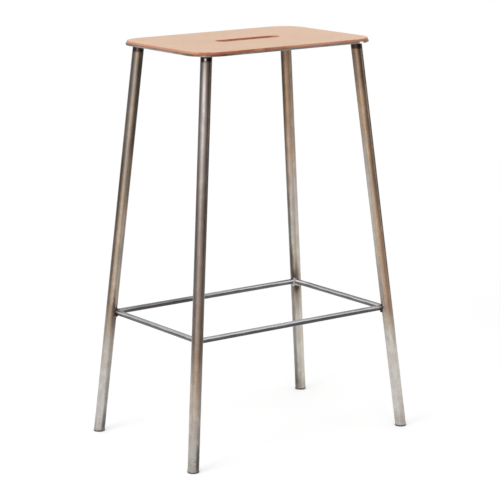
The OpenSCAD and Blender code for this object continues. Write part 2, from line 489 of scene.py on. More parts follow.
# Colour of each leg's patina by height above the floor, and the height where its ramps end
PATINA_TOP = 0.76
PATINA = {
    "front_left": [
        (0.04, (0.47, 0.45, 0.41)), (0.08, (0.47, 0.41, 0.36)), (0.12, (0.43, 0.35, 0.29)),
        (0.17, (0.35, 0.27, 0.21)), (0.22, (0.28, 0.21, 0.16)), (0.31, (0.245, 0.19, 0.155)),
        (0.4, (0.21, 0.165, 0.14)), (0.5, (0.215, 0.18, 0.165)), (0.6, (0.23, 0.205, 0.195)),
        (0.7, (0.185, 0.17, 0.165)),
    ],
    "front_right": [
        (0.1, (0.63, 0.6, 0.57)), (0.17, (0.6, 0.56, 0.52)), (0.21, (0.48, 0.4, 0.32)),
        (0.25, (0.38, 0.285, 0.225)), (0.31, (0.4, 0.29, 0.22)), (0.38, (0.43, 0.315, 0.235)),
        (0.46, (0.4, 0.29, 0.21)), (0.62, (0.34, 0.24, 0.17)), (0.7, (0.3, 0.215, 0.16)),
    ],
    "rear_left": [
        (0.1, (0.56, 0.53, 0.51)), (0.17, (0.49, 0.46, 0.41)), (0.22, (0.41, 0.33, 0.275)),
        (0.31, (0.35, 0.285, 0.225)), (0.4, (0.33, 0.255, 0.2)), (0.5, (0.245, 0.19, 0.145)),
        (0.6, (0.2, 0.16, 0.125)), (0.7, (0.165, 0.135, 0.115)),
    ],
    "rear_right": [
        (0.1, (0.58, 0.55, 0.5)), (0.17, (0.54, 0.51, 0.46)), (0.32, (0.47, 0.45, 0.405)),
        (0.4, (0.44, 0.39, 0.34)), (0.48, (0.46, 0.37, 0.3)), (0.55, (0.4, 0.29, 0.215)),
        (0.62, (0.355, 0.235, 0.16)), (0.7, (0.28, 0.18, 0.115)),
    ],
}
# The share of a patch's width that has its full strength, and how softly it ends up and down the leg
PATCH_CORE = 0.4
PATCH_FADE = 20 * MM
# Patches on each leg: partly seams, stains and wiped patches, partly painted reflections, highlights and
# shade on the sides that face the bright and the dark parts of the studio. Columns: where each faces in
# degrees round from the front, its half width in degrees, the heights it lies between, and what it
# multiplies the colour under it by
PATCHES_OF_PATINA_AND_PAINTED_LIGHT = {
    "front_left": [
        (16, 32, 0.0, 0.78, 0.74), (20, 40, 0.0, 0.04, 0.4), (150, 45, 0.26, 0.78, 1.3),
        (-46, 24, 0.66, 0.78, 1.45), (38, 26, 0.36, 0.66, 0.58), (40, 26, 0.0, 0.28, 0.76),
        (-88, 30, 0.08, 0.19, 1.24), (-74, 24, 0.22, 0.28, 0.78), (14, 34, 0.21, 0.27, 0.74),
        (30, 20, 0.48, 0.72, 0.72), (-40, 200, 0.72, 0.78, (0.72, 0.78, 0.82)),
        (-10, 200, 0.03, 0.09, (0.95, 1.0, 1.05)), (8, 34, 0.59, 0.76, (1.12, 1.0, 0.88)),
        (8, 30, 0.4, 0.59, (1.06, 1.0, 0.9)), (-88, 40, 0.09, 0.45, (0.89, 1.0, 1.11)),
        (16, 18, 0.09, 0.18, (0.9, 1.0, 1.08)), (16, 30, 0.0, 0.06, 0.7), (14, 18, 0.43, 0.53, 0.8),
        (-10, 40, 0.635, 0.665, 1.14), (-66, 18, 0.27, 0.32, 0.85), (-92, 22, 0.16, 0.225, 1.24),
        (-6, 10, 0.53, 0.57, 1.22), (-32, 14, 0.43, 0.52, 0.86), (-6, 12, 0.19, 0.21, 0.8),
        (32, 12, 0.18, 0.27, 0.76),
    ],
    "front_right": [
        (170, 32, 0.0, 0.78, 0.68), (-95, 40, 0.34, 0.78, (1.42, 1.5, 1.58)), (36, 26, 0.19, 0.74, 0.56),
        (-12, 24, 0.67, 0.78, 0.74), (-8, 30, 0.4, 0.52, 0.9), (-84, 30, 0.2, 0.27, 1.24),
        (4, 18, 0.68, 0.78, 1.35), (38, 20, 0.28, 0.62, 0.7), (-14, 20, 0.235, 0.268, (0.82, 0.76, 0.68)),
        (26, 20, 0.24, 0.27, 0.8), (26, 22, 0.28, 0.62, 0.82), (-30, 200, 0.64, 0.78, (0.93, 0.97, 1.0)),
        (-88, 44, 0.23, 0.57, (0.83, 1.0, 1.16)), (-12, 36, 0.22, 0.56, (1.07, 1.0, 0.92)),
        (-88, 44, 0.18, 0.23, (0.9, 1.0, 1.05)), (0, 44, 0.0, 0.06, (0.84, 0.83, 0.82)),
        (-68, 46, 0.27, 0.56, 1.12), (14, 24, 0.34, 0.6, 0.84), (-30, 200, 0.19, 0.225, (1.1, 1.17, 1.23)),
        (-24, 22, 0.48, 0.62, 0.84), (-40, 200, 0.635, 0.665, 1.13), (34, 14, 0.24, 0.52, 0.76),
    ],
    "rear_left": [
        (8, 32, 0.0, 0.78, 0.74), (18, 34, 0.0, 0.12, 0.8), (16, 36, 0.0, 0.03, 0.62),
        (-22, 40, 0.26, 0.78, (1.3, 1.34, 1.38)), (-98, 44, 0.24, 0.53, 0.6), (16, 36, 0.55, 0.78, 0.6),
        (12, 30, 0.26, 0.46, 1.45), (-16, 26, 0.21, 0.25, 0.72), (36, 24, 0.58, 0.78, 0.62),
        (20, 22, 0.235, 0.285, 1.45), (-18, 14, 0.235, 0.28, 0.66), (26, 24, 0.46, 0.6, 0.8),
        (-10, 14, 0.63, 0.67, 1.2), (6, 16, 0.72, 0.75, 1.3), (14, 30, 0.19, 0.42, (0.89, 1.0, 1.09)),
        (2, 40, 0.51, 0.74, (1.1, 1.0, 0.88)), (-82, 40, 0.51, 0.72, (0.94, 1.0, 1.08)),
        (12, 34, 0.0, 0.07, 0.76), (8, 30, 0.435, 0.465, 0.76), (-14, 50, 0.335, 0.365, 0.84),
        (10, 30, 0.265, 0.295, 0.82), (12, 12, 0.21, 0.26, 1.32), (-45, 40, 0.0, 0.03, 1.18),
        (-19, 14, 0.635, 0.665, 1.22), (12, 12, 0.235, 0.27, 1.24),
    ],
    "rear_right": [
        (-84, 32, 0.0, 0.78, 0.66), (14, 40, 0.26, 0.78, (1.38, 1.44, 1.5)), (-86, 26, 0.26, 0.43, 0.6),
        (-58, 22, 0.27, 0.44, 1.22), (-62, 24, 0.46, 0.56, 1.25), (-82, 36, 0.0, 0.2, 0.8),
        (-80, 24, 0.6, 0.71, 0.7), (18, 44, 0.02, 0.27, 1.2), (-74, 26, 0.0, 0.05, 0.7),
        (-64, 15, 0.24, 0.3, 0.62), (16, 22, 0.235, 0.28, 0.9), (-94, 22, 0.44, 0.7, 0.7),
        (-90, 22, 0.26, 0.32, 0.72), (-20, 60, 0.26, 0.35, (0.94, 1.0, 1.05)),
        (-80, 26, 0.29, 0.33, (1.12, 1.0, 0.98)), (14, 28, 0.52, 0.71, (0.9, 1.0, 1.04)),
        (-42, 26, 0.0, 0.04, 0.72), (-94, 20, 0.0, 0.04, 0.66), (-70, 24, 0.05, 0.1, 0.86),
        (-24, 22, 0.245, 0.265, 0.76), (18, 16, 0.245, 0.268, 1.32), (-84, 26, 0.265, 0.3, 0.8),
        (-22, 34, 0.19, 0.208, 0.8), (10, 14, 0.43, 0.57, 0.83), (-66, 34, 0.59, 0.665, 1.17),
        (0, 26, 0.63, 0.67, 0.86), (-10, 14, 0.212, 0.228, 1.28),
    ],
}


def tube_steel():
    """Raw steel tube: silvery low down, brown patina above, heat colours by the welds, painted highlights
    and shade on some sides.
    """
    s, place = new_material("tube_steel")
    quarter, seed = folded(s, place)
    leg = LEGS["rear_right"]
    lean = Vector((0, 0, 1)).rotation_difference(leg.axis).to_euler()
    local = s.mapping(quarter, "TEXTURE", Location=leg.foot, Rotation=lean)
    height = split(s, place)[2]

    def each_leg(*values):
        return by_corner(s, place, values)

    # Patina that changes up the leg and differs from leg to leg, with patches that are partly patina and
    # partly painted reflections, highlights and shade
    cloud = s.noise(local, (30, 30, 9), seed=seed)
    blotch = s.noise(local, (75, 75, 45), 5, 0.65, seed=s.plus(seed, 11.0))
    level = s.math("DIVIDE", s.plus(height, s.swing(cloud, 0.12)), PATINA_TOP)
    x, y, _ = split(s, unfolded(s, place, local))
    turn = s.math("DEGREES", s.math("ARCTAN2", x, s.times(y, -1.0)))
    frayed = s.plus(height, s.swing(blotch, 0.06))
    ragged = s.swing(blotch, 22.0)

    def tone(corner):
        base = s.ramp(level, [(z / PATINA_TOP, colour) for z, colour in PATINA[corner]])
        # Patches of patina, and of painted reflections, highlights and shade, each on one side of the leg
        for towards, width, low, high, change in PATCHES_OF_PATINA_AND_PAINTED_LIGHT[corner]:
            off = s.plus(s.degrees_off(turn, towards), ragged)
            mask = s.mapped(off, width, PATCH_CORE * width)
            middle, half = (low + high) / 2, (high - low) / 2
            off = s.math("ABSOLUTE", s.minus(frayed, middle))
            mask = s.times(mask, s.mapped(off, half + PATCH_FADE, max(half - PATCH_FADE, 0.0)))
            if not isinstance(change, tuple):
                change = (change,) * 3
            base = s.tinted(mask, base, change)
        return base

    base = by_corner(s, place, [tone(corner) for corner in CORNERS])
    # Straw-coloured and bluish lengths of tube
    warm = s.noise(local, (24, 24, 6), 3, 0.55, seed=s.plus(seed, 40.0))
    high = s.mapped(height, 0.16, 0.34)
    base = s.tinted(s.times(s.mapped(warm, 0.52, 0.66), high), base, (1.05, 0.91, 0.78))
    base = s.tinted(s.times(s.mapped(warm, 0.46, 0.34), high), base, (0.88, 0.91, 0.97))
    # Blotches of oil and scale
    base = s.tinted(s.mapped(blotch, 0.62, 0.42), base, (0.86, 0.845, 0.83))
    # Darker towards the foot
    base = s.tinted(s.mapped(height, 45 * MM, 10 * MM, 0.0, 0.5), base, (0.62, 0.6, 0.59))
    # Scuffs round the foot
    scuffs = s.noise(local, (110, 110, 620), 4, 0.65, seed=s.plus(seed, 60.0))
    low = s.mapped(height, 60 * MM, 12 * MM, 0.0, 0.75)
    base = s.tinted(s.times(s.mapped(scuffs, 0.54, 0.66), low), base, (0.6, 0.55, 0.52))
    # Drawn and brushed lines along the tube
    lines = s.noise(local, (900, 900, 14), seed=seed)
    base = s.tinted(s.mapped(lines, 0.65, 0.35), base, (0.88, 0.87, 0.86))
    # Small dark specks and worn patches
    specks = s.noise(local, 420, 5, 0.7, seed=seed)
    base = s.mix(s.mapped(specks, 0.6, 0.76, 0.0, 0.22), base, (0.14, 0.115, 0.1))

    # Heat colours below the plate: burnt, purple, straw, less far down on some legs
    below = s.in_mm(s.minus(plate_low.z, height))
    below = s.times(below, each_leg(0.72, 0.64, 0.59, 1.0))
    smoky = s.mapped(s.plus(below, s.swing(cloud, 40.0)), 85.0, 20.0)
    smoky = s.times(smoky, each_leg(0.25, 0.7, 0.2, 0.3))
    base = s.tinted(smoky, base, (0.62, 0.57, 0.54))
    wandering = s.plus(below, s.swing(s.noise(local, 60, 3, 0.6, seed=seed), 4))
    heat = s.ramp(s.mapped(wandering, 0, 30, linear=True), [
        (0.0, (0.14, 0.125, 0.13)), (0.215, (0.14, 0.12, 0.13)), (0.245, (0.3, 0.24, 0.25)),
        (0.28, (0.88, 0.74, 0.64)), (0.33, (1.04, 0.9, 0.74)), (0.46, (0.96, 0.92, 0.87)),
        (1.0, (1.0, 1.0, 1.0)),
    ])
    base = s.tinted(each_leg(1.0, 0.95, 0.92, 0.25), base, heat)
    # The near left leg was ground bright at its end; the brighter colour goes only on the side facing 43
    # degrees left of the front, a painted highlight in the burnt band
    band = s.times(s.mapped(below, 7.0, 6.2), s.mapped(below, 2.4, 3.4))
    band = s.times(band, s.mapped(s.degrees_off(turn, -43.0), 15.0, 3.0))
    ground_and_painted_highlight = s.times(band, each_leg(1.0, 0.0, 0.12, 0.0))
    base = s.mix(ground_and_painted_highlight, base, (0.155, 0.15, 0.158))
    # Scorched by the footrest's welds, askew across the leg in the rear right corner
    shift = s.mapped(height, footrest_z - 5 * MM, footrest_z + 5 * MM, -2.6 * MM, 0.8 * MM)
    shift = s.times(shift, each_leg(0.0, 0.0, 0.0, 1.0))
    askew = s.vector("ADD", quarter, s.joined(shift, s.times(shift, -1.0), 0.0))
    base = corner_tint(s, base, askew, seed, each_leg(0.8, 0.75, 0.95, 1.05), 0.95)

    rough = each_leg(0.17, 0.21, 0.17, 0.3)
    rough = s.plus(rough, s.mapped(lines, 0.3, 0.7, 0.0, 0.07))
    rough = s.plus(rough, s.mapped(specks, 0.55, 0.75, 0.0, 0.15))
    rough = s.minus(rough, s.times(ground_and_painted_highlight, 0.17))
    normal = s.bump(lines, 0.02 * MM, 0.4, s.bump(specks, 0.04 * MM, 0.2))
    # Oil and thin scale take some of the metal's shine
    shine = each_leg(1.0, 0.95, 1.0, 0.88)
    return s.principled(Base_Color=base, Metallic=shine, Roughness=rough, Normal=normal)


def bar_steel(name, along):
    """Drawn steel bar, bluish grey, with fine lines along it, painted shade underneath and painted
    highlights along its top.
    """
    s, place = new_material(name)
    quarter, seed = folded(s, place)
    fine = (9, 1100, 1100) if along == "x" else (1100, 9, 1100)
    lines = s.noise(place, fine)
    cloud = s.noise(place, 26)
    base = s.ramp(cloud, [
        (0.3, (0.54, 0.54, 0.56)), (0.5, (0.62, 0.62, 0.645)), (0.7, (0.68, 0.665, 0.66))])
    base = s.tinted(s.mapped(lines, 0.65, 0.35), base, (0.84, 0.84, 0.86))
    # Painted shade: every bar darker from a little above its middle downwards, the front bar the darkest
    x, y, z = split(s, place)
    above = s.plus(s.minus(z, footrest_z), s.swing(cloud, 4 * MM))
    in_front = s.math("LESS_THAN", y, FRONT_BAR_ONLY)
    scale = s.mix(in_front, (0.215, 0.205, 0.21), (0.145, 0.14, 0.145))
    base = s.tinted(s.mapped(above, 2.6 * MM, 0.7 * MM), base, scale)
    # Painted highlight and painted shade: a bright line just below the crown towards the right and along
    # the whole front bar, and a darker crown towards the right
    right = s.mapped(x, 0.0, 0.1)
    painted_dark_crown = s.mapped(above, 3.1 * MM, 3.9 * MM)
    painted_highlight_line = s.minus(s.mapped(above, 1.4 * MM, 2.6 * MM), painted_dark_crown)
    base = s.tinted(s.times(right, painted_dark_crown), base, (0.62, 0.62, 0.62))
    painted_highlight_line = s.times(s.math("MAXIMUM", right, in_front), painted_highlight_line)
    base = s.tinted(painted_highlight_line, base, (1.32, 1.32, 1.32))
    # Darker on the left half of the rear bar
    to_left = s.mapped(s.plus(x, s.times(cloud, 0.06)), 0.1, -0.06)
    base = s.tinted(s.times(to_left, s.mapped(y, 0.1, 0.12)), base, (0.58, 0.56, 0.54))
    specks = s.noise(place, 380, 5, 0.7)
    base = s.mix(s.mapped(specks, 0.6, 0.74, 0.0, 0.5), base, (0.13, 0.11, 0.1))
    base = corner_tint(s, base, quarter, seed, 0.7, 0.2)
    # Near white on top next to the welds, each end in its own way: partly ground bright steel, partly a
    # painted highlight
    ends = (0.4, 0.5, 0.2, 0.1) if along == "x" else (0.0, 0.1, 0.6, 1.0)
    from_weld = s.in_mm(s.vector("DISTANCE", quarter, bar_corner))
    ground_and_painted_highlight = s.mapped(s.plus(from_weld, s.times(cloud, 14.0)), 60.0, 36.0)
    ground_and_painted_highlight = s.times(ground_and_painted_highlight, s.mapped(above, -0.5 * MM, 2.5 * MM))
    ground_and_painted_highlight = s.times(ground_and_painted_highlight, by_corner(s, place, ends))
    base = s.mix(ground_and_painted_highlight, base, (0.93, 0.92, 0.92))
    rough = s.plus(s.mapped(lines, 0.3, 0.7, 0.17, 0.26), s.mapped(specks, 0.55, 0.75, 0.0, 0.2))
    normal = s.bump(lines, 0.02 * MM, 0.5, s.bump(specks, 0.05 * MM, 0.35))
    return s.principled(Base_Color=base, Metallic=1.0, Roughness=rough, Normal=normal)


def plate_steel():
    """Laser-cut steel plate, with heat colours on it over the legs and a painted glint at its front right
    corner.
    """
    s, place = new_material("plate_steel")
    quarter, _ = folded(s, place)
    cloud = s.noise(place, 40)
    base = s.ramp(cloud, [
        (0.3, (0.33, 0.31, 0.295)), (0.5, (0.4, 0.375, 0.36)), (0.7, (0.48, 0.455, 0.43))])
    cut = s.noise(place, (900, 900, 60), 3, 0.6)
    base = s.tinted(s.mapped(cut, 0.65, 0.35), base, (0.8, 0.79, 0.78))
    over = LEGS["rear_right"].top
    from_leg = s.in_mm(s.vector("DISTANCE", quarter, (over.x, over.y, plate_low.z)))
    from_leg = s.plus(from_leg, s.swing(s.noise(place, 50, 3, 0.6), 18))
    tint = s.ramp(s.mapped(from_leg, 12, 70, linear=True), [
        (0.0, (0.6, 0.54, 0.44)), (0.12, (0.56, 0.48, 0.38)), (0.24, (0.34, 0.27, 0.22)),
        (0.4, (0.5, 0.42, 0.36)), (0.62, (0.9, 0.84, 0.77)), (1.0, (1.0, 1.0, 1.0)),
    ])
    base = s.tinted(by_corner(s, place, (1.0, 0.25, 0.7, 0.3)), base, tint)
    # Painted glint: near white in a small spot on the plate's edge at the front right corner
    spot = (plate_high.x - 42.5 * MM, plate_low.y + 0.6 * MM, 0)
    spot = s.mapped(s.vector("DISTANCE", flat(s, place), spot), 8 * MM, 4 * MM)
    base = s.mix(spot, base, (0.95, 0.95, 0.95))
    specks = s.noise(place, 500, 5, 0.7)
    rough = s.plus(s.mapped(cloud, 0.3, 0.7, 0.1, 0.17), s.mapped(specks, 0.6, 0.8, 0.0, 0.1))
    normal = s.bump(cut, 0.008 * MM, 0.3, s.bump(specks, 0.01 * MM, 0.3))
    return s.principled(Base_Color=base, Metallic=0.8, Roughness=rough, Normal=normal)


def weld_metal(name, bright, dark, seam=False):
    """Silvery weld metal with scale and heat colours in its ripples."""
    s, place = new_material(name)
    quarter, _ = folded(s, place)
    cloud = s.noise(place, 330, 4, 0.65)
    base = s.ramp(cloud, [(0.36, dark), (0.5, bright), (0.6, bright), (0.74, (0.26, 0.22, 0.2))])
    if seam:
        # Only the bead down the mitre stays bright, most of all in the rear right corner
        x, y, z = split(s, s.vector("SUBTRACT", quarter, bar_corner))
        aside = s.math("ABSOLUTE", s.minus(x, y))
        wide = s.mapped(z, -4.5 * MM, -1.0 * MM, 14 * MM, 4.5 * MM)
        clean = s.times(s.mapped(s.minus(aside, wide), 2 * MM, 0.0), s.mapped(s.plus(x, y), 0.0, -3.5 * MM))
        clean = s.times(clean, by_corner(s, place, (0.3, 0.06, 0.12, 1.0)))
        base = s.mix(clean, (0.055, 0.048, 0.048), base)
    scale = s.noise(place, 900, 4, 0.7)
    base = s.mix(s.mapped(scale, 0.56, 0.72, 0.0, 0.6), base, (0.06, 0.055, 0.06))
    rough = s.mapped(scale, 0.35, 0.7, 0.24, 0.6)
    normal = s.bump(scale, 0.08 * MM, 0.6)
    return s.principled(Base_Color=base, Metallic=1.0, Roughness=rough, Normal=normal)


def glide_plastic():
    """Dark grey moulded plastic, finely grained and scuffed at the floor."""
    s, place = new_material("glide_plastic")
    cloud = s.noise(place, 180, 3, 0.6)
    grain = s.noise(place, 3200, 3, 0.6)
    base = s.ramp(cloud, [(0.35, (0.075, 0.078, 0.085)), (0.65, (0.105, 0.108, 0.115))])
    low_down = s.mapped(split(s, place)[2], 0.0, 1.4 * MM, 0.35, 0.0)
    base = s.mix(low_down, base, (0.24, 0.235, 0.23))
    rough = s.mapped(grain, 0.3, 0.7, 0.42, 0.58)
    return s.principled(Base_Color=base, Roughness=rough, Normal=s.bump(grain, 0.03 * MM, 0.6))


def hide():
    """Natural vegetable-tanned leather: pale grain side, reddish burnished cut edge."""
    s, place = new_material("hide")
    x, _, z = split(s, place)
    # Grain side: even, with soft clouds, faint growth lines and pores
    cloud = s.noise(place, 9, 4, 0.55)
    base = s.ramp(cloud, [
        (0.3, (0.745, 0.51, 0.367)), (0.5, (0.765, 0.53, 0.386)), (0.7, (0.785, 0.55, 0.405))])
    # Painted light: the grain side is made a little lighter towards the right
    base = s.tinted(s.mapped(x, -0.1, 0.2), base, (1.06, 1.06, 1.08))
    mottle = s.noise(place, 85, 5, 0.65)
    base = s.tinted(s.mapped(mottle, 0.7, 0.3), base, (0.935, 0.92, 0.9))
    growth = s.noise(s.mapping(place, Scale=(26, 120, 120), Rotation=(0, 0, 0.3)), 1.0, 4, 0.6, 1.2)
    base = s.mix(s.mapped(growth, 0.6, 0.74, 0.0, 0.1), base, (0.6, 0.4, 0.29))
    pores = s.noise(place, 1500, 3, 0.6)
    base = s.mix(s.mapped(pores, 0.6, 0.72, 0.0, 0.16), base, (0.45, 0.28, 0.19))
    # Cut edge: burnished and stained in patches
    patch = s.noise(place, (38, 38, 90), 4, 0.65)
    edge = s.ramp(patch, [
        (0.3, (0.41, 0.12, 0.06)), (0.5, (0.53, 0.172, 0.088)), (0.66, (0.64, 0.265, 0.15))])
    fibre = s.noise(place, (420, 420, 1500), 4, 0.7)
    edge = s.tinted(s.mapped(fibre, 0.65, 0.35), edge, (0.8, 0.76, 0.74))
    quarter = s.vector("ABSOLUTE", flat(s, place))

    def outside(straight_x, straight_y):
        """How far a place is outside a plain oblong, also round its corners."""
        over = s.vector("SUBTRACT", quarter, (straight_x, straight_y, 0))
        return s.vector("LENGTH", s.vector("MAXIMUM", over))

    half = (seat_high - seat_low) / 2
    in_from_rim = s.minus(LEATHER_CORNER, outside(half.x - LEATHER_CORNER, half.y - LEATHER_CORNER))
    out_from_slot = s.minus(outside(SLOT_X - SLOT_Y, 0), SLOT_Y)
    outer = s.mapped(in_from_rim, TOP_RIM, 0.7 * MM)
    on_edge = s.math("MAXIMUM", outer, s.mapped(out_from_slot, SLOT_RIM, 0.4 * MM))
    # The outer edge is paler towards the right and at its left end
    pale = s.times(s.mapped(x, -0.04, 0.02, 0.0, 0.75), s.mapped(x, 0.07, 0.12, 1.0, 0.55))
    pale = s.math("MAXIMUM", pale, s.mapped(x, -0.188, -0.1995, 0.0, 0.75))
    edge = s.mix(s.times(pale, outer), edge, (0.68, 0.34, 0.215))
    colour = s.mix(on_edge, base, edge)
    # The flesh side underneath
    under = s.mapped(z, seat_low.z + 0.05 * MM, seat_low.z + 0.25 * MM, 1.0, 0.0)
    colour = s.mix(under, colour, (0.52, 0.36, 0.26))

    shift = s.mapping(s.noise_vector(place, 300), Scale=(MM, MM, MM))
    cells = s.node("TexVoronoi", feature="DISTANCE_TO_EDGE")
    s.fill(cells, Vector=s.vector("ADD", place, shift), Scale=780.0)
    creases = s.mapped(cells.outputs["Distance"], 0.0, 0.22)
    normal = s.bump(mottle, 0.25 * MM, 0.35)
    normal = s.bump(creases, 0.05 * MM, 0.45, normal)
    normal = s.bump(pores, 0.04 * MM, 0.4, normal)
    normal = s.bump(fibre, 0.12 * MM, s.times(on_edge, 0.8), normal)
    rough = s.plus(s.mapped(mottle, 0.3, 0.7, 0.5, 0.6), s.times(on_edge, -0.08))
    return s.principled(Base_Color=colour, Roughness=rough, Specular_IOR_Level=0.3, Normal=normal)


# ---- shapes


def mesh_object(name, points, faces, material, node):
    """A closed, smooth mesh that stands for a CAD node."""
    mesh = bpy.data.meshes.new(name)
    mesh.from_pydata([tuple(p) for p in points], [], [tuple(int(i) for i in f) for f in faces])
    mesh.materials.append(material)
    mesh.validate()
    solid = bmesh.new()
    solid.from_mesh(mesh)
    bmesh.ops.recalc_face_normals(solid, faces=solid.faces)
    solid.to_mesh(mesh)
    solid.free()
    mesh.shade_smooth()
    made = linked(name, mesh)
    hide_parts(node)
    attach(made, ROOT)


def closed_rings(rings, count):
    """Quads from each ring of points to the next, and from the last back to the first."""
    faces = []
    for r in range(rings):
        a, b = r * count, (r + 1) % rings * count
        for i in range(count):
            j = (i + 1) % count
            faces.append((a + i, a + j, b + j, b + i))
    return faces


# Steps along half a long side, round a corner and along half a short side
LONG_STEPS, CORNER_STEPS, SHORT_STEPS = 38, 26, 24


def rounded_rectangle(half_x, half_y, radius):
    """Points round a rounded rectangle, as many for every size."""
    points = []
    sides = [(half_x, LONG_STEPS), (half_y, SHORT_STEPS)]
    for quarter in range(4):
        (reach, first), (depth, last) = sides
        sides.reverse()
        along, across = reach - radius, depth - radius
        local = [(along * i / first, -depth) for i in range(first)]
        for i in range(CORNER_STEPS):
            a = math.radians(90 * i / CORNER_STEPS)
            local.append((along + radius * math.sin(a), -across - radius * math.cos(a)))
        local += [(reach, -across * (1 - i / last)) for i in range(last)]
        turn = math.radians(90 * quarter)
        cosine, sine = math.cos(turn), math.sin(turn)
        points += [(x * cosine - y * sine, x * sine + y * cosine) for x, y in local]
    return np.array(points)


def slot_outline(half_x, half_y):
    """Points round an oblong hole, matched in number to rounded_rectangle."""
    total = LONG_STEPS + CORNER_STEPS + SHORT_STEPS
    straight = half_x - half_y
    length = straight + half_y * math.pi / 2
    points = []
    for quarter, (side, end) in enumerate([(1, 1), (1, -1), (-1, -1), (-1, 1)]):
        for i in range(total):
            # Every second quarter runs the other way, from the round end back to the middle
            at = length * i / total if quarter % 2 == 0 else length * (1 - i / total)
            if at < straight:
                x, y = at, -half_y
            else:
                a = (at - straight) / half_y
                x, y = straight + half_y * math.sin(a), -half_y * math.cos(a)
            points.append((x * side, y * end))
    return np.array(points)


# How far the leather's top dips in its broad hollows, and the steps across it
TOP_DIP = 0.12 * MM
STEPS_ACROSS = 44


def leather(material):
    """Leather pad with softly rounded cut edges round its rim and its slot."""
    half = (seat_high - seat_low) / 2
    bottom, top = seat_low.z, seat_high.z
    rings = []

    def ring(points, z, dip=0.0):
        heights = []
        for x, y in points:
            broad = 0.5 + 0.5 * noise.noise(Vector((x * 14, y * 14, 3.0)))
            small = 0.5 + 0.5 * noise.noise(Vector((x * 60, y * 60, 8.0)))
            heights.append(z - dip * (broad + 0.35 * small))
        rings.append(np.column_stack([points, heights]))

    def outer(inset):
        return rounded_rectangle(half.x - inset, half.y - inset, LEATHER_CORNER - inset)

    def inner(grow):
        return slot_outline(SLOT_X + grow, SLOT_Y + grow)

    # Up the wall of the slot and over its rim
    for share in (0.0, 0.25, 0.5, 0.75):
        ring(inner(0.0), bottom + share * (top - bottom - SLOT_RIM))
    for i in range(6):
        a = math.radians(90 * i / 6)
        ring(inner(SLOT_RIM * (1 - math.cos(a))), top - SLOT_RIM * (1 - math.sin(a)), TOP_DIP * i / 6)
    # Across the top
    start, end = inner(SLOT_RIM), outer(TOP_RIM)
    for i in range(STEPS_ACROSS + 1):
        share = i / STEPS_ACROSS
        ring(start * (1 - share) + end * share, top, TOP_DIP)
    # Over the outer rim and down the cut edge
    for i in range(1, 8):
        a = math.radians(90 * i / 7)
        ring(outer(TOP_RIM * (1 - math.sin(a))), top - TOP_RIM * (1 - math.cos(a)), TOP_DIP * (1 - i / 7))
    for share in (0.2, 0.4, 0.6, 0.8, 1.0):
        ring(outer(0.0), top - TOP_RIM - share * (top - bottom - TOP_RIM - LOWER_RIM))
    ring(outer(LOWER_RIM), bottom)
    # Across the underside, back to the slot
    for share in (0.25, 0.5, 0.75):
        ring(outer(LOWER_RIM) * (1 - share) + inner(0.0) * share, bottom)
    faces = closed_rings(len(rings), len(rings[0]))
    mesh_object("seat_leather", np.vstack(rings), faces, material, "leather_seat")


# The bead under the plate: its size, its ripples, and the steps round the leg and down its profile
BEAD_SIZE = 2.5 * MM
RIPPLES = 34
BEAD_STEPS = 300
PROFILE_STEPS = 12


def plate_bead(corner, material):
    """Rippled weld bead where a leg meets the underside of the plate."""
    leg = LEGS[corner]
    shift = 11.0 * leg.side + 5.0 * leg.end
    lean = leg.slope.normalized()
    across = Vector((-lean.y, lean.x))
    stretch = leg.radius / leg.axis.z
    points = []
    for i in range(BEAD_STEPS):
        a = 2 * math.pi * i / BEAD_STEPS
        # Ellipse of the leg in a level plane, with its outward normal
        edge = lean * (stretch * math.cos(a)) + across * (leg.radius * math.sin(a))
        out = (lean * (math.cos(a) / stretch) + across * (math.sin(a) / leg.radius)).normalized()
        spot = Vector((math.cos(a) * 2.2, math.sin(a) * 2.2, shift))
        size = BEAD_SIZE * (1 + 0.14 * noise.noise(spot) + 0.1 * noise.noise(spot * 3.1))
        beat = (RIPPLES * i / BEAD_STEPS + 0.35 * noise.noise(spot * 2)) % 1.0
        size *= 1 + 0.1 * (math.sqrt(beat) - 0.6)
        # How far the profile stands out from the leg and hangs below the plate
        profile = []
        for k in range(PROFILE_STEPS + 1):
            b = math.radians(90 * k / PROFILE_STEPS)
            stand = size * max(math.cos(b), 0.0) ** 0.85 - 0.05 * MM
            profile.append((stand, size * max(math.sin(b), 0.0) ** 0.85))
        # It closes inside the leg's wall and the plate
        profile += [(-0.5 * MM, size * 0.9), (-0.5 * MM, -0.25 * MM), (2.0 * MM, -0.25 * MM)]
        for stand, hang in profile:
            z = plate_low.z - hang
            side = edge + out * stand
            middle = leg.at(z)
            points.append((middle.x + side.x, middle.y + side.y, z))
    faces = closed_rings(BEAD_STEPS, len(profile))
    mesh_object("weld_bead_" + corner, points, faces, material, "plate_weld_" + corner)


# Each corner weld: its random seed, how far above the bars' axes its bead begins in mm, and how fat its
# second run is, from 0 to 1
CORNER_WELDS = {
    "front_left": (3, 4.8, 0.6),
    "front_right": (8, 4.8, 0.65),
    "rear_left": (21, 4.6, 0.55),
    "rear_right": (34, 7.2, 1.0),
}
# How far below the axes the beads end in mm, and their steps
BEAD_END = 7.8
MITRE_STEPS = 12
# How far out along a bar the search for the leg begins, and its steps
SEARCH_FROM = 24 * MM
SEARCH_STEP = 0.1 * MM
# How much each dab keeps of its size along X, Y and Z, at random between these
SQUASH = ((0.85, 1.15), (0.85, 1.15), (0.7, 0.95))
VOXEL = 0.32 * MM


